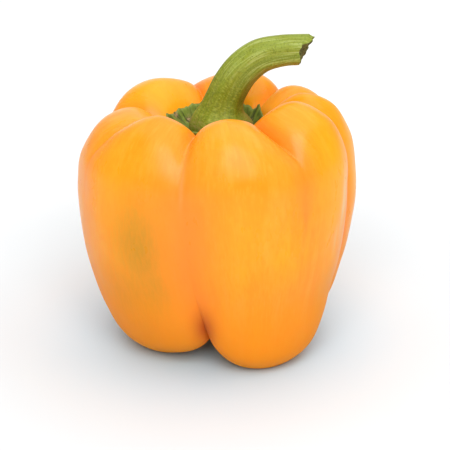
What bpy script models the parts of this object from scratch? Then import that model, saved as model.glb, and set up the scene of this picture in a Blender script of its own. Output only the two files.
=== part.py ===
"""A bell pepper that stands on its four lobe tips: the lobed fruit, the calyx in its hollow top and the bent stem."""

import math

import bmesh
import bpy
import numpy as np

# Directions round the stem are azimuths in degrees: 0 is the front, -Y, and 90 is the right, +X.
# The tables of driving dimensions are in millimetres, and MM turns them into metres.
MM = 0.001

# Where the stem's axis stands beside the middle of the whole pepper.
AXIS_X = 0.0001
AXIS_Y = -0.0004

# The front-to-back depth of the fruit as a share of its width.
FRUIT_DEPTH_SHARE = 0.92

# The outline of the fruit along the middle of a lobe, along a main groove and along a shoulder groove,
# as radius and height, from the seat under the calyx over the crest and down the side to the blossom end.
MERIDIAN = (
    # station          lobe            main groove      shoulder groove
    ("seat middle",    (0.0, 69.0),    (0.0, 69.0),     (0.0, 69.0)),
    ("seat edge",      (11.0, 69.0),   (11.0, 68.8),    (11.0, 68.8)),
    ("hollow foot",    (15.0, 71.5),   (14.5, 70.0),    (14.4, 70.3)),
    ("hollow flank",   (18.8, 79.0),   (18.0, 74.0),    (18.0, 74.6)),
    ("crest",          (26.5, 84.0),   (24.0, 77.3),    (24.5, 78.2)),
    ("outer shoulder", (37.0, 80.5),   (32.5, 75.2),    (34.5, 77.2)),
    ("upper side",     (43.5, 70.0),   (39.0, 67.5),    (43.0, 69.8)),
    ("widest",         (45.2, 57.0),   (41.2, 56.5),    (45.0, 57.0)),
    ("middle",         (44.3, 43.0),   (41.3, 43.0),    (44.3, 43.0)),
    ("lower side",     (41.5, 28.0),   (38.0, 29.0),    (41.5, 28.0)),
    ("lower curve",    (36.5, 14.0),   (31.5, 18.0),    (36.5, 14.0)),
    ("foot edge",      (30.0, 3.8),    (22.5, 12.0),    (30.0, 3.8)),
    ("foot",           (21.0, -0.7),   (14.5, 10.5),    (21.0, -0.7)),
    ("foot inside",    (12.5, 2.8),    (9.0, 9.6),      (12.5, 2.8)),
    ("blossom dimple", (5.0, 7.2),     (4.0, 8.8),      (5.0, 7.2)),
    ("blossom end",    (0.0, 8.6),     (0.0, 8.6),      (0.0, 8.6)),
)

# Eight grooves part the shoulder into eight swellings. The even ones are main grooves: they run down the
# whole fruit and part its four lobes. The odd ones fade out below the shoulder.
GROOVES_AT_CREST = (-17, 29, 77, 105, 135, 193, 250, 297)
GROOVES_AT_SIDE = (-16.5, 35, 79, 109, 143, 197, 251, 294)
GROOVES_AT_FOOT = (-5, 35, 77, 116, 160, 205, 252, 285)
SECTORS = len(GROOVES_AT_CREST)

# How far each swelling differs from the table above, from the front right round: its rise and its reach at
# the shoulder, and its reach down the side and at the foot. The groove that each one starts with has a rise too.
SWELLING_RISE = (-0.6, 1.6, -0.8, -3.2, -1.3, -1.9, -5.4, -1.8)
SWELLING_REACH = (0.0, 1.2, -1.0, -0.2, 0.0, 1.2, -0.2, 0.0)
GROOVE_RISE = (0.0, 0.0, 0.0, 0.0, 1.2, -0.9, 0.0, 0.0)
SIDE_REACH = (1.0, 0.2, -0.7, -0.9, 0.0, 0.0, 0.0, 0.0)
FOOT_REACH = (6.9, 6.9, 2.2, 1.8, 1.4, 1.4, 1.3, 0.7)

# Each main groove down the side, front, right, back and left: its depth as a share of the table's, how far
# it spreads and how soft its bottom is, in sectors.
SIDE_GROOVE_DEPTH = (1.0, 1.7, 1.2, 1.1)
SIDE_GROOVE_SPREAD = (1.0, 0.7, 0.9, 1.0)
SIDE_GROOVE_SOFTNESS = (0.22, 0.08, 0.12, 0.16)

# How far the creases between the swellings spread at the crest and how soft their bottoms are, in sectors.
CREST_CREASE_SPREAD = 0.63
MAIN_CREASE_SOFTNESS = 0.06
SHOULDER_CREASE_SOFTNESS = 0.02
# How broad the rounding in a crease's bottom is beside its softness.
CREASE_ROUNDING = 2
# Each shoulder groove's depth as a share of the table's: front right, right, back and front left.
SHOULDER_GROOVE_DEPTH = (1.7, 1.2, 1.0, 0.8)
FOOT_ROUNDNESS = 0.45

# The skin's own slight unevenness: its height, and its waves round the fruit and down its side.
UNEVENNESS = 0.35
UNEVEN_WAVES_ROUND = 5
UNEVEN_WAVES_DOWN = 11

# The number of flat strips that the solid's skin is made of, and how far they crowd into the grooves.
FRUIT_COLUMNS_PER_SECTOR = 10
FRUIT_ROWS_PER_STATION = 3
GROOVE_CROWDING = 0.5

# The calyx as a dished disc: radius and height of its top, and its thickness.
CALYX_PROFILE = (
    # radius, top height, thickness
    (0.0, 70.8, 1.3),
    (8.0, 70.8, 1.3),
    (10.8, 70.9, 1.2),
    (12.9, 72.4, 1.0),
    (14.2, 74.5, 0.8),
    (14.8, 75.7, 0.7),
)
# Its teeth: how far each one reaches out and how far it rises beside the rim. At 98 degrees there is a notch.
CALYX_TEETH = (
    # azimuth, reach, rise, half width
    (28, 1.2, 0.3, 9),
    (74, 1.0, 0.2, 9),
    (98, -0.9, 0.0, 11),
    (118, 0.2, 2.0, 5),
    (193, 1.5, 0.3, 9),
    (240, 0.4, -0.5, 9),
    (270, 1.5, 0.6, 8),
    (343, 1.5, 0.2, 9),
)
CALYX_TOOTH_POINT = 1.5
# How far the rim dips between the teeth, and the share of the radius where rim and teeth start.
CALYX_RIM_DIP = 0.5
CALYX_RIM_START = 0.7
CALYX_COLUMNS = 60
CALYX_ROWS = 8

# The middle line of the stem: how far right of its axis it stands, its height and its radius.
STEM_PROFILE = (
    # place, right, height, radius
    ("foot", 1.0, 71.45, 9.6),
    ("flare", 1.0, 73.2, 9.6),
    ("neck", 1.0, 75.8, 8.4),
    ("collar", 1.3, 78.3, 6.7),
    ("rise", 1.9, 80.8, 5.95),
    ("lean", 4.3, 86.3, 5.6),
    ("bend", 7.8, 91.2, 5.45),
    ("arch", 13.2, 95.3, 5.2),
    ("reach", 19.6, 96.9, 4.8),
    ("cut end", 27.3, 97.3, 4.75),
)
STEM_RIDGES = 6
STEM_RIDGE_HEIGHT = 0.05
STEM_COLUMNS = 30
STEM_ROWS = 30
# The cut leans by this much along the stem for each unit up and for each unit back, over the last stretch.
CUT_LEAN_UP = 0.5
CUT_LEAN_BACK = 0.25
CUT_STRETCH = 7.0
CUT_HOLLOW = 0.8


def clear_the_scene():
    for thing in list(bpy.data.objects):
        bpy.data.objects.remove(thing)


def smooth_curve(knots, values, at):
    """Values at the places `at` on the smooth curve through the values at the knots."""
    knots = np.asarray(knots, float)
    values = np.asarray(values, float)
    slopes = np.gradient(values, knots, axis=0)
    k = np.clip(np.searchsorted(knots, at, side="right") - 1, 0, len(knots) - 2)
    width = knots[k + 1] - knots[k]
    t = (at - knots[k]) / width
    shape = (-1,) + (1,) * (values.ndim - 1)
    t = t.reshape(shape)
    width = width.reshape(shape)
    start = values[k]
    end = values[k + 1]
    leave = slopes[k] * width
    arrive = slopes[k + 1] * width
    return (
        start * (2 * t**3 - 3 * t**2 + 1)
        + leave * (t**3 - 2 * t**2 + t)
        + end * (3 * t**2 - 2 * t**3)
        + arrive * (t**3 - t**2)
    )


def smooth_step(low, high, x):
    t = np.clip((x - low) / (high - low), 0, 1)
    return t * t * (3 - 2 * t)


def chord_knots(points):
    """Where each point of an outline lies along it, from 0 at the first to 1 at the last."""
    steps = np.hypot(*np.diff(points, axis=0).T)
    return np.append(0, np.cumsum(steps)) / steps.sum()


def round_the_sectors(values, sector):
    """One value for each swelling, carried smoothly from the middle of one to the middle of the next."""
    values = np.asarray(values, float)
    here = np.floor(sector - 0.5).astype(int)
    t = smooth_step(0, 1, sector - 0.5 - here)
    return values[here % SECTORS] * (1 - t) + values[(here + 1) % SECTORS] * t


def groove_azimuth(grooves, sector):
    """The azimuth of a place between the grooves, where sector 0 is the first groove and 1 the next."""
    turns = np.append(np.asarray(grooves, float), grooves[0] + 360)
    return np.interp(sector, np.arange(SECTORS + 1), turns)


def crease(distance, spread, softness):
    """1 in the groove and 0 from its spread on, between swellings as round as an arc."""
    soft = np.sqrt(distance**2 + softness**2) - softness
    near = np.clip(1 - soft / (spread - softness), 0, 1)
    swell = np.sqrt(1 - near**2)
    rounding = CREASE_ROUNDING * softness
    return 1 - (np.hypot(swell, rounding) - rounding) / (np.hypot(1, rounding) - rounding)


def groove_depths(sector, along, knot):
    """How much of the main groove's outline and of the shoulder groove's shows at a place."""
    main_groove = np.round(sector / 2).astype(int) % (SECTORS // 2)
    from_main = np.abs(sector / 2 - np.round(sector / 2)) * 2
    from_shoulder = np.abs((sector - 1) / 2 - np.round((sector - 1) / 2)) * 2
    on_crest = crease(from_main, CREST_CREASE_SPREAD, MAIN_CREASE_SOFTNESS)
    spread = np.asarray(SIDE_GROOVE_SPREAD)[main_groove]
    on_side = crease(from_main, spread, np.asarray(SIDE_GROOVE_SOFTNESS)[main_groove])
    on_side *= np.asarray(SIDE_GROOVE_DEPTH)[main_groove]
    on_foot = 1 - np.sin(from_main * math.pi / 2) ** FOOT_ROUNDNESS
    below_crest = smooth_step(knot["crest"], knot["widest"], along)
    near_foot = smooth_step(knot["middle"], knot["foot edge"], along)
    below = on_side * (1 - near_foot) + on_foot * near_foot
    in_main = on_crest * (1 - below_crest) + below * below_crest
    in_shoulder = crease(from_shoulder, CREST_CREASE_SPREAD, SHOULDER_CREASE_SOFTNESS)
    shoulder_groove = np.round((sector - 1) / 2).astype(int) % (SECTORS // 2)
    deeper = np.asarray(SHOULDER_GROOVE_DEPTH)[shoulder_groove] - 1
    in_shoulder *= 1 + deeper * smooth_step(knot["hollow flank"], knot["outer shoulder"], along)
    return in_main[:, None], in_shoulder[:, None]


def fruit_surface(sector, along):
    """Points of the skin: sector runs from 0 to 8 round the fruit, along from 0 at the seat to 1 below."""
    lobe, main, shoulder = (np.array([row[column] for row in MERIDIAN]) for column in (1, 2, 3))
    knots = chord_knots(lobe)
    knot = {row[0]: place for row, place in zip(MERIDIAN, knots)}
    c = sector.ravel()
    v = along.ravel()
    in_main, in_shoulder = groove_depths(c, v, knot)
    outline = smooth_curve(knots, lobe, v)
    outline += (smooth_curve(knots, main, v) - outline) * in_main
    outline += (smooth_curve(knots, shoulder, v) - smooth_curve(knots, lobe, v)) * in_shoulder
    radius, height = outline.T.copy()

    at_shoulder = smooth_step(knot["seat edge"], knot["hollow flank"], v)
    at_shoulder *= 1 - smooth_step(knot["outer shoulder"], knot["middle"], v)
    at_side = smooth_step(knot["crest"], knot["widest"], v)
    at_side *= 1 - smooth_step(knot["middle"], knot["lower curve"], v)
    at_foot = smooth_step(knot["lower side"], knot["foot"], v)
    at_foot *= 1 - smooth_step(knot["foot"], knot["blossom end"], v)
    height += at_shoulder * round_the_sectors(SWELLING_RISE, c)
    height += at_shoulder * round_the_sectors(GROOVE_RISE, c + 0.5)
    radius += at_shoulder * round_the_sectors(SWELLING_REACH, c)
    radius += at_side * round_the_sectors(SIDE_REACH, c)
    radius += at_foot * round_the_sectors(FOOT_REACH, c)

    azimuth = groove_azimuth(GROOVES_AT_CREST, c)
    azimuth += (groove_azimuth(GROOVES_AT_SIDE, c) - azimuth) * smooth_step(knot["crest"], knot["upper side"], v)
    azimuth += (groove_azimuth(GROOVES_AT_FOOT, c) - azimuth) * smooth_step(knot["upper side"], knot["foot"], v)
    azimuth = np.radians(azimuth)
    radius += UNEVENNESS * at_side * np.sin(UNEVEN_WAVES_ROUND * azimuth + UNEVEN_WAVES_DOWN * v)
    x = radius * np.sin(azimuth)
    y = -radius * np.cos(azimuth) * FRUIT_DEPTH_SHARE
    points = np.stack([x, y, np.maximum(height, 0)], axis=1) * MM
    points += (AXIS_X, AXIS_Y, 0)
    return points.reshape(sector.shape + (3,))


def fruit_grid(columns_per_sector, rows_per_station):
    """The places of the skin's points: closer together in the grooves than on the swellings."""
    knots = chord_knots(np.array([row[1] for row in MERIDIAN]))
    between = np.arange(len(knots) * rows_per_station - rows_per_station + 1) / rows_per_station
    along = np.interp(between, np.arange(len(knots)), knots)
    t = np.arange(SECTORS * columns_per_sector) / columns_per_sector
    sector = t - GROOVE_CROWDING * np.sin(2 * math.pi * t) / (2 * math.pi)
    return np.meshgrid(sector, along)


def calyx_surface(azimuth, out):
    """Points of the calyx's top and its thickness there: out runs from 0 in the middle to 1 at the rim."""
    radius, top, thickness = np.array(CALYX_PROFILE).T
    share = radius / radius[-1]
    top = smooth_curve(share, top, out.ravel())
    thickness = np.interp(out.ravel(), share, thickness)
    reach = np.zeros(len(top))
    rise = np.full(len(top), -CALYX_RIM_DIP)
    for tooth_azimuth, tooth_reach, tooth_rise, half_width in CALYX_TEETH:
        aside = (azimuth.ravel() - tooth_azimuth + 180) % 360 - 180
        tooth = np.exp(-np.abs(aside / half_width) ** CALYX_TOOTH_POINT)
        reach += tooth * tooth_reach
        rise += tooth * (tooth_rise + CALYX_RIM_DIP)
    near_rim = smooth_step(CALYX_RIM_START, 1, out.ravel())
    r = out.ravel() * radius[-1] + reach * near_rim
    angle = np.radians(azimuth.ravel())
    height = top + rise * near_rim
    points = np.stack([r * np.sin(angle), -r * np.cos(angle), height], axis=1) * MM
    points += (AXIS_X, AXIS_Y, 0)
    return points.reshape(azimuth.shape + (3,)), thickness.reshape(azimuth.shape) * MM


def stem_surface(turn, along):
    """Points of the stem's skin: turn runs round it, from 0 on the inside of the bend, and along from 0 to 1."""
    path = np.array([row[1:3] for row in STEM_PROFILE])
    radii = np.array([row[3] for row in STEM_PROFILE])
    knots = chord_knots(path)
    v = along.ravel()
    middle = smooth_curve(knots, path, v)
    ahead = smooth_curve(knots, np.gradient(path, knots, axis=0), v)
    ahead /= np.linalg.norm(ahead, axis=1)[:, None]
    angle = turn.ravel()
    ridge = STEM_RIDGE_HEIGHT * np.cos(STEM_RIDGES * angle)
    radius = smooth_curve(knots, radii, v) * (1 + ridge)
    inward = radius * np.cos(angle)
    back = radius * np.sin(angle)
    right = middle[:, 0] + inward * ahead[:, 1]
    height = middle[:, 1] - inward * ahead[:, 0]
    length = np.hypot(*np.diff(path, axis=0).T).sum()
    near_cut = smooth_step(1 - CUT_STRETCH / length, 1, v)
    right += near_cut * (CUT_LEAN_UP * (height - middle[:, 1]) + CUT_LEAN_BACK * back)
    points = np.stack([right, back, height], axis=1) * MM
    points += (AXIS_X, AXIS_Y, 0)
    return points.reshape(turn.shape + (3,))


def body_of_rings(name, rings, first, last, material):
    """One closed body through rings of points, drawn together in one point at each end."""
    bm = bmesh.new()
    loops = [[bm.verts.new(point) for point in ring] for ring in rings]
    tip = bm.verts.new(first)
    tail = bm.verts.new(last)
    count = len(loops[0])
    for j in range(count):
        k = (j + 1) % count
        bm.faces.new((tip, loops[0][j], loops[0][k]))
        bm.faces.new((tail, loops[-1][k], loops[-1][j]))
        for upper, lower in zip(loops, loops[1:]):
            bm.faces.new((upper[j], lower[j], lower[k], upper[k]))
    bmesh.ops.recalc_face_normals(bm, faces=bm.faces)
    mesh = bpy.data.meshes.new(name)
    bm.to_mesh(mesh)
    bm.free()
    mesh.shade_smooth()
    mesh.materials.append(material)
    piece = bpy.data.objects.new(name, mesh)
    bpy.context.scene.collection.objects.link(piece)
    return piece


def plain_material(name, colour, roughness):
    material = bpy.data.materials.new(name)
    material.use_nodes = True
    shader = material.node_tree.nodes["Principled BSDF"]
    shader.inputs["Base Color"].default_value = (*colour, 1)
    shader.inputs["Roughness"].default_value = roughness
    shader.inputs["Metallic"].default_value = 0
    return material


def orange_skin():
    return plain_material("orange_skin", (1.0, 0.40, 0.03), 0.3)


def calyx_green():
    return plain_material("calyx_green", (0.10, 0.17, 0.04), 0.6)


def stem_green():
    return plain_material("stem_green", (0.30, 0.37, 0.04), 0.55)


def fruit():
    points = fruit_surface(*fruit_grid(FRUIT_COLUMNS_PER_SECTOR, FRUIT_ROWS_PER_STATION))
    return body_of_rings("fruit", points[1:-1], points[0, 0], points[-1, 0], orange_skin())


def calyx():
    azimuth, out = np.meshgrid(
        np.linspace(0, 360, CALYX_COLUMNS, endpoint=False),
        np.linspace(0, 1, CALYX_ROWS + 1),
    )
    top, thickness = calyx_surface(azimuth, out)
    under = top.copy()
    under[..., 2] -= thickness
    rings = np.concatenate([top[1:], under[:0:-1]])
    return body_of_rings("calyx", rings, top[0, 0], under[0, 0], calyx_green())


def stem():
    turn, along = np.meshgrid(
        np.linspace(0, 2 * math.pi, STEM_COLUMNS, endpoint=False),
        np.linspace(0, 1, STEM_ROWS),
    )
    points = stem_surface(turn, along)
    foot_middle = points[0].mean(axis=0)
    cut_middle = points[-1].mean(axis=0) - (CUT_HOLLOW * MM, 0, 0)
    return body_of_rings("stem", points, foot_middle, cut_middle, stem_green())


def bell_pepper():
    clear_the_scene()
    fruit()
    calyx()
    stem()


bell_pepper()
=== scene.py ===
"""The looks of the bell pepper: waxy skin, crumpled calyx and ribbed stem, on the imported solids."""

import math

import bpy
import numpy as np
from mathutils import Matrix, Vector, noise


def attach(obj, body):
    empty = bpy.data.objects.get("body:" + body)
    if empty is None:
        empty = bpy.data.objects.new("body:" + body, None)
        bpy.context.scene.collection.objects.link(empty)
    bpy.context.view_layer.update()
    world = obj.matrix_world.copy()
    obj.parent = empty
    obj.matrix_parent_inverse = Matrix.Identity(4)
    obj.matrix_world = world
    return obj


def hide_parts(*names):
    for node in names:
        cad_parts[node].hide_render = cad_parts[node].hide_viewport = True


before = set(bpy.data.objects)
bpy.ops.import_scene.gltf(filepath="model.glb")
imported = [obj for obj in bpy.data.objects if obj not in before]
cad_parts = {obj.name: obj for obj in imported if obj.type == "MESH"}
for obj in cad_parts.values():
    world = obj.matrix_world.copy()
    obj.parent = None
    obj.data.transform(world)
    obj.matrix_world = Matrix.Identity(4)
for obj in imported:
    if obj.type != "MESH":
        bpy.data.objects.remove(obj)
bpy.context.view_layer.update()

# Directions round the stem are azimuths in degrees: 0 is the front, -Y, and 90 is the right, +X.
# The tables of driving dimensions are in millimetres, and MM turns them into metres.
MM = 0.001

# The shape of the solids: these tables and the surfaces below say what the part's own source says.
AXIS_X = 0.0001
AXIS_Y = -0.0004
FRUIT_DEPTH_SHARE = 0.92
MERIDIAN = (
    # station          lobe            main groove      shoulder groove
    ("seat middle",    (0.0, 69.0),    (0.0, 69.0),     (0.0, 69.0)),
    ("seat edge",      (11.0, 69.0),   (11.0, 68.8),    (11.0, 68.8)),
    ("hollow foot",    (15.0, 71.5),   (14.5, 70.0),    (14.4, 70.3)),
    ("hollow flank",   (18.8, 79.0),   (18.0, 74.0),    (18.0, 74.6)),
    ("crest",          (26.5, 84.0),   (24.0, 77.3),    (24.5, 78.2)),
    ("outer shoulder", (37.0, 80.5),   (32.5, 75.2),    (34.5, 77.2)),
    ("upper side",     (43.5, 70.0),   (39.0, 67.5),    (43.0, 69.8)),
    ("widest",         (45.2, 57.0),   (41.2, 56.5),    (45.0, 57.0)),
    ("middle",         (44.3, 43.0),   (41.3, 43.0),    (44.3, 43.0)),
    ("lower side",     (41.5, 28.0),   (38.0, 29.0),    (41.5, 28.0)),
    ("lower curve",    (36.5, 14.0),   (31.5, 18.0),    (36.5, 14.0)),
    ("foot edge",      (30.0, 3.8),    (22.5, 12.0),    (30.0, 3.8)),
    ("foot",           (21.0, -0.7),   (14.5, 10.5),    (21.0, -0.7)),
    ("foot inside",    (12.5, 2.8),    (9.0, 9.6),      (12.5, 2.8)),
    ("blossom dimple", (5.0, 7.2),     (4.0, 8.8),      (5.0, 7.2)),
    ("blossom end",    (0.0, 8.6),     (0.0, 8.6),      (0.0, 8.6)),
)
GROOVES_AT_CREST = (-17, 29, 77, 105, 135, 193, 250, 297)
GROOVES_AT_SIDE = (-16.5, 35, 79, 109, 143, 197, 251, 294)
GROOVES_AT_FOOT = (-5, 35, 77, 116, 160, 205, 252, 285)
SECTORS = len(GROOVES_AT_CREST)
SWELLING_RISE = (-0.6, 1.6, -0.8, -3.2, -1.3, -1.9, -5.4, -1.8)
SWELLING_REACH = (0.0, 1.2, -1.0, -0.2, 0.0, 1.2, -0.2, 0.0)
GROOVE_RISE = (0.0, 0.0, 0.0, 0.0, 1.2, -0.9, 0.0, 0.0)
SIDE_REACH = (1.0, 0.2, -0.7, -0.9, 0.0, 0.0, 0.0, 0.0)
FOOT_REACH = (6.9, 6.9, 2.2, 1.8, 1.4, 1.4, 1.3, 0.7)
SIDE_GROOVE_DEPTH = (1.0, 1.7, 1.2, 1.1)
SIDE_GROOVE_SPREAD = (1.0, 0.7, 0.9, 1.0)
SIDE_GROOVE_SOFTNESS = (0.22, 0.08, 0.12, 0.16)
CREST_CREASE_SPREAD = 0.63
MAIN_CREASE_SOFTNESS = 0.06
SHOULDER_CREASE_SOFTNESS = 0.02
CREASE_ROUNDING = 2
SHOULDER_GROOVE_DEPTH = (1.7, 1.2, 1.0, 0.8)
FOOT_ROUNDNESS = 0.45
UNEVENNESS = 0.35
UNEVEN_WAVES_ROUND = 5
UNEVEN_WAVES_DOWN = 11
GROOVE_CROWDING = 0.5
CALYX_PROFILE = (
    # radius, top height, thickness
    (0.0, 70.8, 1.3),
    (8.0, 70.8, 1.3),
    (10.8, 70.9, 1.2),
    (12.9, 72.4, 1.0),
    (14.2, 74.5, 0.8),
    (14.8, 75.7, 0.7),
)
CALYX_TEETH = (
    # azimuth, reach, rise, half width
    (28, 1.2, 0.3, 9),
    (74, 1.0, 0.2, 9),
    (98, -0.9, 0.0, 11),
    (118, 0.2, 2.0, 5),
    (193, 1.5, 0.3, 9),
    (240, 0.4, -0.5, 9),
    (270, 1.5, 0.6, 8),
    (343, 1.5, 0.2, 9),
)
CALYX_TOOTH_POINT = 1.5
CALYX_RIM_DIP = 0.5
CALYX_RIM_START = 0.7
STEM_PROFILE = (
    # place, right, height, radius
    ("foot", 1.0, 71.45, 9.6),
    ("flare", 1.0, 73.2, 9.6),
    ("neck", 1.0, 75.8, 8.4),
    ("collar", 1.3, 78.3, 6.7),
    ("rise", 1.9, 80.8, 5.95),
    ("lean", 4.3, 86.3, 5.6),
    ("bend", 7.8, 91.2, 5.45),
    ("arch", 13.2, 95.3, 5.2),
    ("reach", 19.6, 96.9, 4.8),
    ("cut end", 27.3, 97.3, 4.75),
)
STEM_RIDGES = 6
STEM_RIDGE_HEIGHT = 0.05
CUT_LEAN_UP = 0.5
CUT_LEAN_BACK = 0.25
CUT_STRETCH = 7.0
CUT_HOLLOW = 0.8

# How finely the visible pieces are meshed.
FRUIT_COLUMNS_PER_SECTOR = 44
FRUIT_ROWS_PER_STATION = 14
CALYX_COLUMNS = 360
CALYX_ROWS = 44
STEM_COLUMNS = 144
STEM_ROWS = 150

# The camera: how steeply it looks down, how far it stands and how wide a stretch it sees there.
CAMERA_ELEVATION = 22
CAMERA_DISTANCE = 0.55
CAMERA_WIDTH = 0.1436
CAMERA_AIM_HEIGHT = 0.045
SENSOR_WIDTH = 36
IMAGE_SIZE = 450
AIM_PIXEL_X = 218
AIM_PIXEL_Y = 207


def smooth_curve(knots, values, at):
    """Values at the places `at` on the smooth curve through the values at the knots."""
    knots = np.asarray(knots, float)
    values = np.asarray(values, float)
    slopes = np.gradient(values, knots, axis=0)
    k = np.clip(np.searchsorted(knots, at, side="right") - 1, 0, len(knots) - 2)
    width = knots[k + 1] - knots[k]
    t = (at - knots[k]) / width
    shape = (-1,) + (1,) * (values.ndim - 1)
    t = t.reshape(shape)
    width = width.reshape(shape)
    start = values[k]
    end = values[k + 1]
    leave = slopes[k] * width
    arrive = slopes[k + 1] * width
    return (
        start * (2 * t**3 - 3 * t**2 + 1)
        + leave * (t**3 - 2 * t**2 + t)
        + end * (3 * t**2 - 2 * t**3)
        + arrive * (t**3 - t**2)
    )


def smooth_step(low, high, x):
    t = np.clip((x - low) / (high - low), 0, 1)
    return t * t * (3 - 2 * t)


def chord_knots(points):
    """Where each point of an outline lies along it, from 0 at the first to 1 at the last."""
    steps = np.hypot(*np.diff(points, axis=0).T)
    return np.append(0, np.cumsum(steps)) / steps.sum()


def round_the_sectors(values, sector):
    """One value for each swelling, carried smoothly from the middle of one to that of the next."""
    values = np.asarray(values, float)
    here = np.floor(sector - 0.5).astype(int)
    t = smooth_step(0, 1, sector - 0.5 - here)
    return values[here % SECTORS] * (1 - t) + values[(here + 1) % SECTORS] * t


def groove_azimuth(grooves, sector):
    """The azimuth of a place between grooves: sector 0 is the first groove and 1 is the next."""
    turns = np.append(np.asarray(grooves, float), grooves[0] + 360)
    return np.interp(sector, np.arange(SECTORS + 1), turns)


def crease(distance, spread, softness):
    """1 in the groove and 0 from its spread on, between swellings as round as an arc."""
    soft = np.sqrt(distance**2 + softness**2) - softness
    near = np.clip(1 - soft / (spread - softness), 0, 1)
    swell = np.sqrt(1 - near**2)
    rounding = CREASE_ROUNDING * softness
    return 1 - (np.hypot(swell, rounding) - rounding) / (np.hypot(1, rounding) - rounding)


def groove_depths(sector, along, knot):
    """How much of the main groove's outline and of the shoulder groove's shows at a place."""
    main_groove = np.round(sector / 2).astype(int) % (SECTORS // 2)
    from_main = np.abs(sector / 2 - np.round(sector / 2)) * 2
    from_shoulder = np.abs((sector - 1) / 2 - np.round((sector - 1) / 2)) * 2
    on_crest = crease(from_main, CREST_CREASE_SPREAD, MAIN_CREASE_SOFTNESS)
    spread = np.asarray(SIDE_GROOVE_SPREAD)[main_groove]
    on_side = crease(from_main, spread, np.asarray(SIDE_GROOVE_SOFTNESS)[main_groove])
    on_side *= np.asarray(SIDE_GROOVE_DEPTH)[main_groove]
    on_foot = 1 - np.sin(from_main * math.pi / 2) ** FOOT_ROUNDNESS
    below_crest = smooth_step(knot["crest"], knot["widest"], along)
    near_foot = smooth_step(knot["middle"], knot["foot edge"], along)
    below = on_side * (1 - near_foot) + on_foot * near_foot
    in_main = on_crest * (1 - below_crest) + below * below_crest
    in_shoulder = crease(from_shoulder, CREST_CREASE_SPREAD, SHOULDER_CREASE_SOFTNESS)
    shoulder_groove = np.round((sector - 1) / 2).astype(int) % (SECTORS // 2)
    deeper = np.asarray(SHOULDER_GROOVE_DEPTH)[shoulder_groove] - 1
    in_shoulder *= 1 + deeper * smooth_step(knot["hollow flank"], knot["outer shoulder"], along)
    return in_main[:, None], in_shoulder[:, None]


def fruit_surface(sector, along):
    """Points of the skin: sector runs from 0 to 8 round it, along from 0 at the seat to 1 below."""
    lobe, main, shoulder = (np.array([row[column] for row in MERIDIAN]) for column in (1, 2, 3))
    knots = chord_knots(lobe)
    knot = {row[0]: place for row, place in zip(MERIDIAN, knots)}
    c = sector.ravel()
    v = along.ravel()
    in_main, in_shoulder = groove_depths(c, v, knot)
    outline = smooth_curve(knots, lobe, v)
    outline += (smooth_curve(knots, main, v) - outline) * in_main
    outline += (smooth_curve(knots, shoulder, v) - smooth_curve(knots, lobe, v)) * in_shoulder
    radius, height = outline.T.copy()

    at_shoulder = smooth_step(knot["seat edge"], knot["hollow flank"], v)
    at_shoulder *= 1 - smooth_step(knot["outer shoulder"], knot["middle"], v)
    at_side = smooth_step(knot["crest"], knot["widest"], v)
    at_side *= 1 - smooth_step(knot["middle"], knot["lower curve"], v)
    at_foot = smooth_step(knot["lower side"], knot["foot"], v)
    at_foot *= 1 - smooth_step(knot["foot"], knot["blossom end"], v)
    height += at_shoulder * round_the_sectors(SWELLING_RISE, c)
    height += at_shoulder * round_the_sectors(GROOVE_RISE, c + 0.5)
    radius += at_shoulder * round_the_sectors(SWELLING_REACH, c)
    radius += at_side * round_the_sectors(SIDE_REACH, c)
    radius += at_foot * round_the_sectors(FOOT_REACH, c)

    azimuth = groove_azimuth(GROOVES_AT_CREST, c)
    below_crest = smooth_step(knot["crest"], knot["upper side"], v)
    azimuth += (groove_azimuth(GROOVES_AT_SIDE, c) - azimuth) * below_crest
    toward_foot = smooth_step(knot["upper side"], knot["foot"], v)
    azimuth += (groove_azimuth(GROOVES_AT_FOOT, c) - azimuth) * toward_foot
    azimuth = np.radians(azimuth)
    radius += UNEVENNESS * at_side * np.sin(UNEVEN_WAVES_ROUND * azimuth + UNEVEN_WAVES_DOWN * v)
    x = radius * np.sin(azimuth)
    y = -radius * np.cos(azimuth) * FRUIT_DEPTH_SHARE
    points = np.stack([x, y, np.maximum(height, 0)], axis=1) * MM
    points += (AXIS_X, AXIS_Y, 0)
    return points.reshape(sector.shape + (3,))


def fruit_grid(columns_per_sector, rows_per_station):
    """The places of the skin's points: closer together in the grooves than on the swellings."""
    knots = chord_knots(np.array([row[1] for row in MERIDIAN]))
    between = np.arange(len(knots) * rows_per_station - rows_per_station + 1) / rows_per_station
    along = np.interp(between, np.arange(len(knots)), knots)
    t = np.arange(SECTORS * columns_per_sector) / columns_per_sector
    sector = t - GROOVE_CROWDING * np.sin(2 * math.pi * t) / (2 * math.pi)
    return np.meshgrid(sector, along)


def calyx_surface(azimuth, out):
    """Points of the calyx's top and its thickness: out is 0 in the middle and 1 at the rim."""
    radius, top, thickness = np.array(CALYX_PROFILE).T
    share = radius / radius[-1]
    top = smooth_curve(share, top, out.ravel())
    thickness = np.interp(out.ravel(), share, thickness)
    reach = np.zeros(len(top))
    rise = np.full(len(top), -CALYX_RIM_DIP)
    for tooth_azimuth, tooth_reach, tooth_rise, half_width in CALYX_TEETH:
        aside = (azimuth.ravel() - tooth_azimuth + 180) % 360 - 180
        tooth = np.exp(-np.abs(aside / half_width) ** CALYX_TOOTH_POINT)
        reach += tooth * tooth_reach
        rise += tooth * (tooth_rise + CALYX_RIM_DIP)
    near_rim = smooth_step(CALYX_RIM_START, 1, out.ravel())
    r = out.ravel() * radius[-1] + reach * near_rim
    angle = np.radians(azimuth.ravel())
    height = top + rise * near_rim
    points = np.stack([r * np.sin(angle), -r * np.cos(angle), height], axis=1) * MM
    points += (AXIS_X, AXIS_Y, 0)
    return points.reshape(azimuth.shape + (3,)), thickness.reshape(azimuth.shape) * MM


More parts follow.
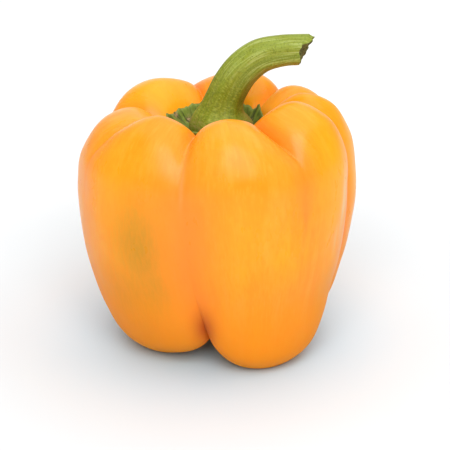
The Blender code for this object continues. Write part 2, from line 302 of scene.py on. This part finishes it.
def stem_surface(turn, along):
    """Points of the stem's skin: turn is 0 inside the bend, and along runs from 0 to 1."""
    path = np.array([row[1:3] for row in STEM_PROFILE])
    radii = np.array([row[3] for row in STEM_PROFILE])
    knots = chord_knots(path)
    v = along.ravel()
    middle = smooth_curve(knots, path, v)
    ahead = smooth_curve(knots, np.gradient(path, knots, axis=0), v)
    ahead /= np.linalg.norm(ahead, axis=1)[:, None]
    angle = turn.ravel()
    ridge = STEM_RIDGE_HEIGHT * np.cos(STEM_RIDGES * angle)
    radius = smooth_curve(knots, radii, v) * (1 + ridge)
    inward = radius * np.cos(angle)
    back = radius * np.sin(angle)
    right = middle[:, 0] + inward * ahead[:, 1]
    height = middle[:, 1] - inward * ahead[:, 0]
    length = np.hypot(*np.diff(path, axis=0).T).sum()
    near_cut = smooth_step(1 - CUT_STRETCH / length, 1, v)
    right += near_cut * (CUT_LEAN_UP * (height - middle[:, 1]) + CUT_LEAN_BACK * back)
    points = np.stack([right, back, height], axis=1) * MM
    points += (AXIS_X, AXIS_Y, 0)
    return points.reshape(turn.shape + (3,))


# Meshes

# Where the columns of a grid meet in one point, its normal has no length, and it stays zero.
LEAST_LENGTH = 1e-12


def normals_of_grid(points):
    """Unit normals of a grid whose rows run down and whose columns close round."""
    across = np.roll(points, -1, axis=1) - np.roll(points, 1, axis=1)
    down = np.gradient(points, axis=0)
    normals = np.cross(down, across)
    length = np.linalg.norm(normals, axis=2, keepdims=True)
    return normals / np.maximum(length, LEAST_LENGTH)


NOISE_SEED_STEP = 17.3


def soft_noise(points, size, seed):
    """Smooth noise between about -1 and 1 at each point, with lumps of about that size."""
    flat = points.reshape(-1, 3) / size + seed * NOISE_SEED_STEP
    values = np.array([noise.noise(Vector(point)) for point in flat])
    return values.reshape(points.shape[:-1])


def noise_relief(points, rise, size, seed):
    """Noise so high and so wide in millimetres, as heights in metres."""
    return rise * MM * soft_noise(points, size * MM, seed)


def piece_of_grid(name, points, material, attributes):
    """A closed piece from a grid whose first and last rows are single points, with named values."""
    rows, columns = points.shape[:2]
    ring = np.arange((rows - 2) * columns).reshape(rows - 2, columns) + 1
    beside = np.roll(ring, -1, axis=1)
    last = (rows - 2) * columns + 1
    quads = np.stack([ring[:-1], ring[1:], beside[1:], beside[:-1]], axis=-1).reshape(-1, 4)
    first_fan = np.stack([np.zeros(columns, int), ring[0], beside[0]], axis=-1)
    last_fan = np.stack([np.full(columns, last), beside[-1], ring[-1]], axis=-1)

    def flat(values):
        between = values[1:-1].reshape(-1, *values.shape[2:])
        return np.concatenate([values[:1, 0], between, values[-1:, 0]])

    mesh = bpy.data.meshes.new(name)
    faces = first_fan.tolist() + quads.tolist() + last_fan.tolist()
    mesh.from_pydata(flat(points).tolist(), [], faces)
    for label, values in attributes.items():
        kind = "FLOAT_VECTOR" if values.ndim == 3 else "FLOAT"
        field = "vector" if values.ndim == 3 else "value"
        layer = mesh.attributes.new(label, kind, "POINT")
        layer.data.foreach_set(field, flat(values).astype(np.float32).ravel())
    mesh.update()
    mesh.shade_smooth()
    mesh.materials.append(material)
    piece = bpy.data.objects.new(name, mesh)
    bpy.context.scene.collection.objects.link(piece)
    return piece


# Materials

def linear(red, green, blue):
    """A colour named by its 0 to 255 values, as the shader wants it."""
    values = np.array([red, green, blue]) / 255
    values = np.where(values <= 0.04045, values / 12.92, ((values + 0.055) / 1.055) ** 2.4)
    return (*values.tolist(), 1)


# The Mix node has its own sockets for each kind of data: a share and two values in, one value out.
MIX_SOCKETS = {
    "FLOAT": ((0, 2, 3), 0),
    "RGBA": ((0, 6, 7), 2),
}


class Paint:
    """A material and the few kinds of node that the pepper's materials are made of."""

    def __init__(self, name, roughness, specular):
        self.material = bpy.data.materials.new(name)
        self.material.use_nodes = True
        self.tree = self.material.node_tree
        self.inputs = self.tree.nodes["Principled BSDF"].inputs
        self.feed(self.inputs, {"Roughness": roughness, "Specular IOR Level": specular})

    def node(self, kind, **settings):
        made = self.tree.nodes.new(kind)
        for key, value in settings.items():
            setattr(made, key, value)
        return made

    def feed(self, inputs, values):
        """Gives inputs their values: outputs of other nodes, or plain numbers and colours."""
        for socket, value in values.items():
            if isinstance(value, (int, float, tuple)):
                inputs[socket].default_value = value
            else:
                self.tree.links.new(value, inputs[socket])

    def field(self, name, output="Fac"):
        """The values of a name that the piece's mesh has."""
        return self.node("ShaderNodeAttribute", attribute_name=name).outputs[output]

    def flow(self, along):
        """Where textures are laid out. A value below 1 draws them out along the piece."""
        made = self.node("ShaderNodeMapping")
        self.feed(made.inputs, {"Vector": self.field("flow", "Vector"), "Scale": (1, 1, along)})
        return made.outputs["Vector"]

    def noise(self, along, scale, detail, roughness):
        made = self.node("ShaderNodeTexNoise")
        self.feed(made.inputs, {
            "Vector": self.flow(along),
            "Scale": scale,
            "Detail": detail,
            "Roughness": roughness,
        })
        return made.outputs["Fac"]

    def cells(self, along, scale):
        made = self.node("ShaderNodeTexVoronoi")
        self.feed(made.inputs, {"Vector": self.flow(along), "Scale": scale})
        return made.outputs["Distance"]

    def spread(self, value, low, high, to_low=0.0, to_high=1.0):
        made = self.node("ShaderNodeMapRange", interpolation_type="SMOOTHSTEP")
        self.feed(made.inputs, {
            "Value": value,
            "From Min": low,
            "From Max": high,
            "To Min": to_low,
            "To Max": to_high,
        })
        return made.outputs["Result"]

    def times(self, first, second):
        made = self.node("ShaderNodeMath", operation="MULTIPLY", use_clamp=True)
        self.feed(made.inputs, {0: first, 1: second})
        return made.outputs["Value"]

    def mix(self, share, first, second, kind="RGBA"):
        """Two colours mixed by a share, or two numbers where the kind is FLOAT."""
        made = self.node("ShaderNodeMix", data_type=kind)
        sockets, result = MIX_SOCKETS[kind]
        self.feed(made.inputs, dict(zip(sockets, (share, first, second))))
        return made.outputs[result]

    def layers(self, colour, textures, table):
        """The colour under the layers of a table, each where its texture has the right values."""
        for name, start, full, strength, tint in table:
            colour = self.mix(self.spread(textures[name], start, full, 0, strength), colour, tint)
        return colour

    def relief(self, textures, depths):
        """The low relief of some textures, one on another."""
        normal = None
        for name, depth in depths:
            made = self.node("ShaderNodeBump")
            self.feed(made.inputs, {"Height": textures[name], "Distance": depth})
            if normal is not None:
                self.feed(made.inputs, {"Normal": normal})
            normal = made.outputs["Normal"]
        self.feed(self.inputs, {"Normal": normal})


# Three kinds of table say how each material's textures look.
# NOISES: name, scale along the piece, where below 1 draws the lumps out, then lumps in a metre,
# detail and roughness.
# LAYERS: texture, the value at which the colour starts, the one at which it is full, how strong it
# is then, and the colour. Where the start is the higher value, the colour fills the low places.
# RELIEF: texture and its depth in metres.

SKIN_ORANGE = linear(255, 156, 24)
SKIN_GOLD = linear(255, 170, 8)
SKIN_DEEP = linear(255, 144, 12)
# A redder orange: the skin's own colour in the red patches, and in the grooves partly painted shade.
SKIN_RED = linear(255, 130, 40)
SKIN_MUSTARD = linear(214, 140, 0)
SKIN_OLIVE = linear(194, 141, 18)
SKIN_PALE = linear(255, 166, 52)
# Painted shade: a darker orange towards the foot, where the underside lies in shadow.
SKIN_FOOT_PAINTED_SHADE = linear(246, 140, 0)
# Painted shade: a dark orange-brown in the notch between the two front feet, where the crease lies in
# shadow.
SKIN_PAINTED_SHADE = linear(196, 88, 0)
# Painted highlight: pale streaks of reflected light on the skin.
SKIN_PAINTED_HIGHLIGHT = linear(240, 214, 176)
SKIN_SCAR = linear(120, 84, 40)
SKIN_NOISES = (
    ("patches", 0.5, 45, 3, 0.5),
    ("clouds", 0.35, 150, 4, 0.65),
    ("bands", 0.1, 300, 2, 0.5),
    ("streaks", 0.16, 1500, 3, 0.6),
    ("fine", 0.5, 2200, 2, 0.5),
)
SKIN_LAYERS = (
    ("patches", 0.48, 0.72, 1.0, SKIN_DEEP),
    ("patches", 0.5, 0.3, 0.6, SKIN_GOLD),
    ("bands", 0.48, 0.7, 0.5, SKIN_PALE),
    ("bands", 0.48, 0.3, 0.5, SKIN_DEEP),
    ("streaks", 0.5, 0.72, 0.5, SKIN_PALE),
    ("streaks", 0.5, 0.32, 0.5, SKIN_DEEP),
)
SKIN_RELIEF = (
    ("clouds", 0.00006),
    ("streaks", 0.000025),
    ("fine", 0.00001),
)
# The gloss of the skin runs between two roughnesses as the clouds do, and the foot is duller.
SKIN_ROUGHNESS = (0.26, 0.36)
SKIN_GLOSS_CLOUDS = (0.3, 0.7)
SKIN_FOOT_ROUGHNESS = 0.7
SKIN_SPECULAR = 0.27
# Light goes a little way into the skin, red the farthest. The depth is in metres.
SKIN_SUBSURFACE = 0.25
SKIN_SUBSURFACE_REACH = (1.0, 0.45, 0.1)
SKIN_SUBSURFACE_DEPTH = 0.003

# Patches of colour on the skin: azimuth and height of the middle, half width, half height and
# strength, in degrees and millimetres.
GOLD_PATCHES = (
    (232, 78, 28, 12, 0.9),
    (50, 66, 9, 16, 0.4),
    (310, 64, 12, 12, 0.6),
    (268, 66, 16, 14, 0.4),
    (94, 62, 16, 26, 1.0),
    (150, 52, 18, 20, 0.5),
    (165, 78, 20, 8, 0.8),
    (140, 78, 14, 8, 1.0),
    (12, 56, 12, 12, 0.4),
    (57, 62, 10, 22, 1.0),
)
RED_PATCHES = (
    (347, 44, 10, 22, 0.6),
    (350, 28, 12, 14, 0.55),
    (240, 34, 22, 20, 0.5),
)
MUSTARD_PATCHES = (
    (316, 24, 20, 14, 1.0),
    (322, 44, 14, 18, 0.6),
    (56, 24, 12, 12, 0.35),
    (190, 24, 20, 12, 0.5),
)
OLIVE_PATCHES = (
    (326, 45, 10, 17, 0.9),
    (330, 31, 8, 9, 0.8),
)
# Painted highlights: thin pale streaks of reflected light on the right flank and on the ridge beside
# the front crease.
PAINTED_HIGHLIGHT_PATCHES = (
    (343, 68, 1.0, 8, 0.25),
    (61, 56, 1.6, 10, 0.6),
    (57, 44, 0.8, 5, 0.4),
)
# Painted shade in the notch between the two front feet.
PAINTED_SHADE_PATCHES = (
    (352.5, 17, 6, 7, 1.0),
)
SKIN_PATCHES = (
    ("gold", GOLD_PATCHES, SKIN_GOLD),
    ("red", RED_PATCHES, SKIN_RED),
    ("mustard", MUSTARD_PATCHES, SKIN_MUSTARD),
    ("olive", OLIVE_PATCHES, SKIN_OLIVE),
    ("painted_highlight", PAINTED_HIGHLIGHT_PATCHES, SKIN_PAINTED_HIGHLIGHT),
)
# The streaks fray the patches: between two values of theirs, a patch goes from one share of its
# strength to another.
PATCH_FRAYING = (0.35, 0.65, 0.75, 1.0)
# Colours that lie over the patches, with how strong each is. The groove red is partly the skin's own
# colour and partly painted shade in the creases, the foot's darker orange and the notch colour are
# painted shade, and the scar is the blossom end's own colour.
SKIN_TINTS = (
    ("groove", 0.55, SKIN_RED),
    ("foot", 0.85, SKIN_FOOT_PAINTED_SHADE),
    ("painted_shade", 1.0, SKIN_PAINTED_SHADE),
    ("scar", 1.0, SKIN_SCAR),
)


def patch_field(patches, azimuth, height):
    field = np.zeros(azimuth.shape)
    for place, level, half_width, half_height, strength in patches:
        aside = (azimuth - place + 180) % 360 - 180
        away = (aside / half_width) ** 2 + ((height - level) / half_height) ** 2
        field = np.maximum(field, strength * np.exp(-away))
    return field


def skin_material():
    paint = Paint("pepper_skin", SKIN_ROUGHNESS[1], SKIN_SPECULAR)
    textures = {name: paint.noise(*looks) for name, *looks in SKIN_NOISES}
    colour = paint.layers(SKIN_ORANGE, textures, SKIN_LAYERS)
    fraying = paint.spread(textures["streaks"], *PATCH_FRAYING)
    for name, _, tint in SKIN_PATCHES:
        colour = paint.mix(paint.times(paint.field(name), fraying), colour, tint)
    for name, strength, tint in SKIN_TINTS:
        colour = paint.mix(paint.times(paint.field(name), strength), colour, tint)
    gloss = paint.spread(textures["clouds"], *SKIN_GLOSS_CLOUDS, *SKIN_ROUGHNESS)
    paint.feed(paint.inputs, {
        "Base Color": colour,
        "Roughness": paint.mix(paint.field("foot"), gloss, SKIN_FOOT_ROUGHNESS, "FLOAT"),
        "Subsurface Weight": SKIN_SUBSURFACE,
        "Subsurface Radius": SKIN_SUBSURFACE_REACH,
        "Subsurface Scale": SKIN_SUBSURFACE_DEPTH,
    })
    paint.relief(textures, SKIN_RELIEF)
    return paint.material


CALYX_VALLEY = linear(64, 80, 22)
CALYX_RIB = linear(112, 128, 40)
CALYX_LIGHT = linear(130, 142, 50)
CALYX_SPECK = linear(156, 160, 96)
CALYX_EDGE = linear(142, 158, 76)
CALYX_DRIED_DARK = linear(70, 40, 24)
CALYX_DRIED_PALE = linear(196, 150, 116)
CALYX_NOISES = (
    ("veins", 0.3, 800, 3, 0.6),
    ("cloud", 1.0, 300, 3, 0.5),
    ("specks", 1.0, 1500, 2, 0.7),
)
CALYX_LAYERS = (
    ("veins", 0.38, 0.62, 1.0, CALYX_RIB),
    ("cloud", 0.48, 0.64, 0.6, CALYX_LIGHT),
    ("specks", 0.55, 0.75, 0.35, CALYX_SPECK),
)
CALYX_RELIEF = (
    ("veins", 0.0003),
    ("specks", 0.0001),
)
CALYX_ROUGHNESS = 0.6
CALYX_SPECULAR = 0.25
CALYX_EDGE_STRENGTH = 0.6
# A dried patch comes in between two values of the cloud, and its brown turns from dark to pale
# between two values of the specks.
DRIED_CLOUD = (0.34, 0.48)
DRIED_SPECKS = (0.42, 0.58)


def calyx_material():
    paint = Paint("calyx_leaf", CALYX_ROUGHNESS, CALYX_SPECULAR)
    textures = {name: paint.noise(*looks) for name, *looks in CALYX_NOISES}
    colour = paint.layers(CALYX_VALLEY, textures, CALYX_LAYERS)
    colour = paint.mix(paint.times(paint.field("edge"), CALYX_EDGE_STRENGTH), colour, CALYX_EDGE)
    speckled = paint.spread(textures["specks"], *DRIED_SPECKS)
    brown = paint.mix(speckled, CALYX_DRIED_DARK, CALYX_DRIED_PALE)
    dried = paint.times(paint.field("dried"), paint.spread(textures["cloud"], *DRIED_CLOUD))
    paint.feed(paint.inputs, {"Base Color": paint.mix(dried, colour, brown)})
    paint.relief(textures, CALYX_RELIEF)
    return paint.material


STEM_FOOT_GREEN = linear(122, 134, 14)
STEM_ARM_GREEN = linear(138, 151, 50)
STEM_CLOUD = linear(134, 142, 30)
STEM_BAND = linear(96, 110, 26)
STEM_LINE_PALE = linear(172, 182, 100)
STEM_LINE_DARK = linear(88, 98, 18)
STEM_SCALE_PALE = linear(166, 172, 62)
STEM_SCALE_DARK = linear(92, 102, 12)
STEM_FLECK = linear(190, 194, 118)
# Painted bounce light: the orange fruit's light thrown up under the stem's arm.
STEM_PAINTED_BOUNCE = linear(156, 126, 40)
STEM_FOOT_BROWN = linear(150, 132, 70)
PITH_DARK = linear(66, 60, 22)
PITH_PALE = linear(116, 112, 48)
STEM_NOISES = (
    ("lines", 0.05, 1700, 3, 0.6),
    ("bands", 0.05, 480, 2, 0.5),
    ("cloud", 1.0, 200, 3, 0.5),
    ("scales", 2.2, 1000, 3, 0.6),
)
# The flecks are cells: their scale along the stem, and cells in a metre.
STEM_CELLS = (0.7, 2300)
# A layer of the stem has two strengths, near the foot and on the arm.
STEM_LAYERS = (
    ("cloud", 0.4, 0.65, 0.6, 0.6, STEM_CLOUD),
    ("bands", 0.5, 0.66, 0.4, 0.4, STEM_BAND),
    ("lines", 0.5, 0.64, 0.12, 0.8, STEM_LINE_PALE),
    ("lines", 0.45, 0.3, 0.35, 0.35, STEM_LINE_DARK),
    ("scales", 0.52, 0.66, 0.65, 0.2, STEM_SCALE_PALE),
    ("scales", 0.46, 0.34, 0.5, 0.5, STEM_SCALE_DARK),
    ("cells", 0.16, 0.06, 0.5, 0.5, STEM_FLECK),
)
STEM_RELIEF = (
    ("lines", 0.0002),
    ("scales", 0.0002),
    ("cells", 0.00005),
)
STEM_ROUGHNESS = 0.5
PITH_ROUGHNESS = 1.0
STEM_SPECULAR = 0.3
PAINTED_BOUNCE_STRENGTH = 0.6
# Between two values of the scales the foot turns brown and the pith turns pale.
SCALES_MOTTLE = (0.4, 0.6)


def stem_material():
    paint = Paint("stem_stalk", STEM_ROUGHNESS, STEM_SPECULAR)
    textures = {name: paint.noise(*looks) for name, *looks in STEM_NOISES}
    textures["cells"] = paint.cells(*STEM_CELLS)
    arm = paint.field("arm")
    colour = paint.mix(arm, STEM_FOOT_GREEN, STEM_ARM_GREEN)
    for name, start, full, at_foot, on_arm, tint in STEM_LAYERS:
        strength = paint.spread(arm, 0, 1, at_foot, on_arm)
        share = paint.times(paint.spread(textures[name], start, full), strength)
        colour = paint.mix(share, colour, tint)
    # Painted bounce light: a yellowish-brown line along the inside of the bend.
    painted_bounce = paint.times(paint.field("painted_bounce"), PAINTED_BOUNCE_STRENGTH)
    colour = paint.mix(painted_bounce, colour, STEM_PAINTED_BOUNCE)
    mottle = paint.spread(textures["scales"], *SCALES_MOTTLE)
    colour = paint.mix(paint.times(paint.field("foot"), mottle), colour, STEM_FOOT_BROWN)
    cut = paint.field("cut")
    colour = paint.mix(cut, colour, paint.mix(mottle, PITH_DARK, PITH_PALE))
    roughness = paint.spread(cut, 0, 1, STEM_ROUGHNESS, PITH_ROUGHNESS)
    paint.feed(paint.inputs, {"Base Color": colour, "Roughness": roughness})
    paint.relief(textures, STEM_RELIEF)
    return paint.material


# Pieces

# The scar of the blossom end fades out between two distances from the middle and lies below a
# height. The foot's darker orange, painted shade of the underside, and its duller gloss fade out
# between two heights.
SCAR_FADE = (1.1, 2.2)
SCAR_BELOW = 20
FOOT_COLOUR_HEIGHTS = (5, 46)
# The unevenness of the skin: how high its lumps are, how wide, and the seed of their noise. It
# leaves the flats of the feet level.
SKIN_LUMPS = (
    (0.28, 16, 1),
    (0.1, 7, 2),
)
LUMPS_START_HEIGHT = 4
# The skin's textures are laid out on a cylinder of this radius and length, in millimetres.
SKIN_FLOW_RADIUS = 40
SKIN_FLOW_LENGTH = 176


def fruit_piece():
    sector, along = fruit_grid(FRUIT_COLUMNS_PER_SECTOR, FRUIT_ROWS_PER_STATION)
    points = fruit_surface(sector, along)
    normals = normals_of_grid(points)
    knots = chord_knots(np.array([row[1] for row in MERIDIAN]))
    knot = {row[0]: place for row, place in zip(MERIDIAN, knots)}
    off_ground = smooth_step(0.0, LUMPS_START_HEIGHT * MM, points[..., 2])
    off_seat = smooth_step(knot["hollow foot"], knot["crest"], along)
    lumps = sum(noise_relief(points, *lump) for lump in SKIN_LUMPS)
    points = points + normals * (lumps * off_ground * off_seat)[..., None]
    in_main, in_shoulder = groove_depths(sector.ravel(), along.ravel(), knot)
    above_middle = 1 - smooth_step(knot["upper side"], knot["middle"], along)
    in_main = in_main.reshape(sector.shape)
    in_shoulder = in_shoulder.reshape(sector.shape)
    # The groove tint: a redder orange deepest in the creases, partly the skin's own colour and partly
    # painted shade.
    groove = np.maximum(in_main ** 2, in_shoulder ** 2 * above_middle)
    x = points[..., 0] - AXIS_X
    y = points[..., 1] - AXIS_Y
    azimuth = np.degrees(np.arctan2(x, -y)) % 360
    height = points[..., 2] / MM
    around = np.radians(groove_azimuth(GROOVES_AT_CREST, sector.ravel())).reshape(sector.shape)
    radius = SKIN_FLOW_RADIUS * MM
    length = SKIN_FLOW_LENGTH * MM
    flow = np.stack([radius * np.sin(around), -radius * np.cos(around), length * along], axis=-1)
    from_blossom_end = np.hypot(x, y) / MM
    scar = 1 - smooth_step(*SCAR_FADE, from_blossom_end)
    scar = np.where(height < SCAR_BELOW, scar, 0)
    on_side = smooth_step(knot["seat edge"], knot["crest"], along)
    # The foot: a darker orange, painted shade of the underside, and a duller gloss.
    foot = 1 - smooth_step(*FOOT_COLOUR_HEIGHTS, height)
    piece = piece_of_grid("fruit_skin", points, skin_material(), {
        "flow": flow,
        "groove": np.clip(groove, 0, 1) * on_side,
        # Painted shade in the notch between the front feet.
        "painted_shade": patch_field(PAINTED_SHADE_PATCHES, azimuth, height),
        "foot": foot,
        "scar": scar,
        # The patches of colour, the painted highlights among them.
        **{name: patch_field(table, azimuth, height) for name, table, _ in SKIN_PATCHES},
    })
    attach(piece, "root")
    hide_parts("fruit")


# Where the calyx has dried brown: azimuth, share of its radius, half width of each, strength.
DRIED_PATCHES = (
    (72, 0.88, 16, 0.12, 1.0),
    (127, 0.78, 9, 0.08, 1.0),
    (224, 0.82, 12, 0.05, 0.8),
    (246, 0.98, 6, 0.06, 0.8),
)
# The calyx is crumpled from one share of its radius on, ragged from another, and pale at its edge.
CALYX_CRUMPLE_START = (0.66, 0.9)
CALYX_RAGGED_START = 0.88
CALYX_EDGE_START = 0.95
# Its ribs wander to and fro round it.
CALYX_RIBS = 14
CALYX_RIB_HEIGHT = 0.12
CALYX_RIB_WANDER = 2
CALYX_RIB_WANDERS = 3
# How high and wide its crumples and rags are, and the seeds of their noise.
CALYX_COARSE_CRUMPLE = (0.6, 2.6, 3)
CALYX_FINE_CRUMPLE = (0.35, 1.3, 4)
CALYX_RAGS = (0.5, 1.1, 5)


def calyx_piece():
    azimuth, out = np.meshgrid(
        np.linspace(0, 360, CALYX_COLUMNS, endpoint=False),
        np.linspace(0, 1, CALYX_ROWS + 1),
    )
    top, thickness = calyx_surface(azimuth, out)
    angle = np.radians(azimuth)
    crumpled = smooth_step(*CALYX_CRUMPLE_START, out)
    wander = CALYX_RIB_WANDER * np.sin(CALYX_RIB_WANDERS * angle)
    ribs = CALYX_RIB_HEIGHT * MM * np.cos(CALYX_RIBS * angle + wander) * crumpled
    crumple = noise_relief(top, *CALYX_COARSE_CRUMPLE) + noise_relief(top, *CALYX_FINE_CRUMPLE)
    ragged = noise_relief(top, *CALYX_RAGS) * smooth_step(CALYX_RAGGED_START, 1, out)
    top[..., 2] += ribs + crumple * crumpled + ragged
    under = top.copy()
    under[..., 2] -= thickness
    points = np.concatenate([top, under[::-1]])
    radius = CALYX_PROFILE[-1][0] * MM
    flow_top = np.stack([radius * np.sin(angle), -radius * np.cos(angle), out * radius], axis=-1)
    edge = np.clip((out - CALYX_EDGE_START) / (1 - CALYX_EDGE_START), 0, 1)
    dried = patch_field(DRIED_PATCHES, azimuth, out)
    piece = piece_of_grid("calyx_leaf", points, calyx_material(), {
        "flow": np.concatenate([flow_top, flow_top[::-1]]),
        "edge": np.concatenate([edge, edge[::-1]]),
        "dried": np.concatenate([dried, dried[::-1]]),
    })
    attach(piece, "root")
    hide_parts("calyx")


# The chip in the front of the cut: where it is round the stem and its half width, in radians, then
# its depth and the stretch of the stem that gives way to it, in millimetres.
CHIP_TURN = 4.35
CHIP_HALF_WIDTH = 0.5
CHIP_DEPTH = 1.9
CHIP_STRETCH = 4.0
CHIP_SQUARENESS = 4
# How far the rim of the cut is rough, how wide the roughness is, and the seed of its noise.
ROUGH_RIM = (0.5, 1.3, 6)
# The top of the cut is rounded off: by how much, over what stretch, and its half width in radians.
CUT_TOP_ROUNDING = 1.0
CUT_TOP_STRETCH = 1.6
CUT_TOP_HALF_WIDTH = 0.9
# The face of the cut has rings of points, and the first is this share of the way in.
CUT_RINGS = 9
CUT_FIRST_RING = 0.1
# The stem's textures are laid out on a cylinder of this radius and length, in millimetres, and
# the distance to the cut is taken from the same length.
STEM_FLOW_RADIUS = 6
STEM_FLOW_LENGTH = 45
# The shares of the stem's length over which its foot turns brown and its arm begins, and how
# wide the painted bounce light on the inside of the bend is: a yellowish-brown line where the orange
# fruit throws its light up under the arm.
STEM_FOOT_END = (0.04, 0.13)
STEM_ARM_START = (0.28, 0.55)
PAINTED_BOUNCE_SPREAD = 0.12


def weathered_cut(points, turn, along):
    """The stem with a chip in the front of its cut, a rounded upper edge and a rough rim."""
    to_end = (1 - along) * STEM_FLOW_LENGTH
    near = 1 - smooth_step(0, CHIP_STRETCH, to_end)
    chip = CHIP_DEPTH * np.exp(-((turn - CHIP_TURN) / CHIP_HALF_WIDTH) ** CHIP_SQUARENESS)
    points[..., 0] -= near * (chip * MM - noise_relief(points, *ROUGH_RIM))
    at_top = np.exp(-((turn - math.pi) / CUT_TOP_HALF_WIDTH) ** 2)
    at_top *= 1 - smooth_step(0, CUT_TOP_STRETCH, to_end)
    points[..., 2] -= CUT_TOP_ROUNDING * at_top * MM
    return points


def stem_piece():
    turn, along = np.meshgrid(
        np.linspace(0, 2 * math.pi, STEM_COLUMNS, endpoint=False),
        np.linspace(0, 1, STEM_ROWS),
    )
    points = weathered_cut(stem_surface(turn, along), turn, along)
    foot_middle = points[0].mean(axis=0)
    cut_middle = points[-1].mean(axis=0) - (CUT_HOLLOW * MM, 0, 0)
    cut_shares = np.linspace(CUT_FIRST_RING, 1, CUT_RINGS)[:, None, None]
    cap = points[-1] + (cut_middle - points[-1]) * cut_shares
    foot = np.broadcast_to(foot_middle, (1,) + points.shape[1:])
    grid = np.concatenate([foot, points, cap])
    on_cut = np.ones((CUT_RINGS, turn.shape[1]))
    full_turn = np.concatenate([turn[:1], turn, np.repeat(turn[-1:], CUT_RINGS, axis=0)])
    full_along = np.concatenate([along[:1], along, on_cut])
    cut = np.concatenate([np.zeros((1 + len(turn), turn.shape[1])), on_cut])
    reach = np.concatenate([np.ones(1 + len(turn)), 1 - cut_shares[:, 0, 0]])[:, None]
    radius = STEM_FLOW_RADIUS * MM
    flow = np.stack([
        radius * reach * np.cos(full_turn),
        radius * reach * np.sin(full_turn),
        STEM_FLOW_LENGTH * MM * full_along,
    ], axis=-1)
    # Painted bounce light along the inside of the bend, and none on the cut.
    from_inside = (full_turn + math.pi) % (2 * math.pi) - math.pi
    painted_bounce = np.exp(-from_inside ** 2 / PAINTED_BOUNCE_SPREAD) * (1 - cut)
    piece = piece_of_grid("stem_stalk", grid, stem_material(), {
        "flow": flow,
        "cut": cut,
        "painted_bounce": painted_bounce,
        "foot": 1 - smooth_step(*STEM_FOOT_END, full_along),
        "arm": smooth_step(*STEM_ARM_START, full_along),
    })
    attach(piece, "root")
    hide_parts("stem")


# The stage

def camera():
    elevation = math.radians(CAMERA_ELEVATION)
    back = Vector((0, -math.cos(elevation), math.sin(elevation)))
    data = bpy.data.cameras.new("camera")
    made = bpy.data.objects.new("camera", data)
    bpy.context.scene.collection.objects.link(made)
    made.location = Vector((AXIS_X, AXIS_Y, CAMERA_AIM_HEIGHT)) + back * CAMERA_DISTANCE
    made.rotation_mode = "QUATERNION"
    made.rotation_quaternion = (-back).to_track_quat("-Z", "Y")
    data.sensor_width = SENSOR_WIDTH
    data.lens = SENSOR_WIDTH * CAMERA_DISTANCE / CAMERA_WIDTH
    data.shift_x = (IMAGE_SIZE / 2 - AIM_PIXEL_X) / IMAGE_SIZE
    data.shift_y = (AIM_PIXEL_Y - IMAGE_SIZE / 2) / IMAGE_SIZE
    bpy.context.scene.camera = made


# The orange skin throws its colour on the floor, so the floor starts cool under it. Round the pepper
# it is greyer, a painted soft shadow, and it ends white, because far from the lamps it would turn
# grey.
# The reaches are distances in metres.
FLOOR_COOL = (0.54, 0.78, 0.92, 1)
FLOOR_PAINTED_SHADOW = (0.75, 0.78, 0.795, 1)
FLOOR_WHITE = (0.97, 0.97, 0.97, 1)
FLOOR_COOL_REACH = (0.01, 0.07)
FLOOR_PAINTED_SHADOW_REACH = (0.075, 0.22)
FLOOR_HALF_WIDTH = 4.0
FLOOR_ROUGHNESS = 0.8
FLOOR_SPECULAR = 0.1


def floor():
    half = FLOOR_HALF_WIDTH
    corners = [(-half, -half, 0), (half, -half, 0), (half, half, 0), (-half, half, 0)]
    mesh = bpy.data.meshes.new("floor")
    mesh.from_pydata(corners, [], [(0, 1, 2, 3)])
    paint = Paint("floor_white", FLOOR_ROUGHNESS, FLOOR_SPECULAR)
    place = paint.node("ShaderNodeNewGeometry").outputs["Position"]
    far = paint.node("ShaderNodeVectorMath", operation="LENGTH")
    paint.feed(far.inputs, {0: place})
    away = far.outputs["Value"]
    colour = paint.mix(paint.spread(away, *FLOOR_COOL_REACH), FLOOR_COOL, FLOOR_PAINTED_SHADOW)
    # Greyer round the pepper, a painted soft shadow, and white beyond it.
    colour = paint.mix(paint.spread(away, *FLOOR_PAINTED_SHADOW_REACH), colour, FLOOR_WHITE)
    paint.feed(paint.inputs, {"Base Color": colour})
    mesh.materials.append(paint.material)
    made = bpy.data.objects.new("floor", mesh)
    bpy.context.scene.collection.objects.link(made)


# The soft panels of the studio: place and size in metres, power in watts. Each faces the pepper.
SOFTBOXES = (
    ("front", (0.02, -0.70, 0.66), 0.6, 5.8),
    ("top", (0.1, 0.05, 0.9), 1.1, 5.6),
    ("rim", (0.0, 1.0, 0.45), 1.0, 2.0),
)
WORLD_STRENGTH = 0.42


def softbox(name, place, size, power):
    data = bpy.data.lights.new(name, "AREA")
    data.energy = power
    data.shape = "SQUARE"
    data.size = size
    made = bpy.data.objects.new(name, data)
    made.location = place
    made.rotation_mode = "QUATERNION"
    ahead = Vector((0, 0, CAMERA_AIM_HEIGHT)) - Vector(place)
    made.rotation_quaternion = ahead.to_track_quat("-Z", "Y")
    bpy.context.scene.collection.objects.link(made)


def studio():
    world = bpy.data.worlds.new("studio")
    bpy.context.scene.world = world
    world.use_nodes = True
    background = world.node_tree.nodes["Background"]
    background.inputs["Color"].default_value = (1, 1, 1, 1)
    background.inputs["Strength"].default_value = WORLD_STRENGTH
    for panel in SOFTBOXES:
        softbox(*panel)
    bpy.context.scene.view_settings.view_transform = "Standard"


camera()
fruit_piece()
calyx_piece()
stem_piece()
floor()
studio()
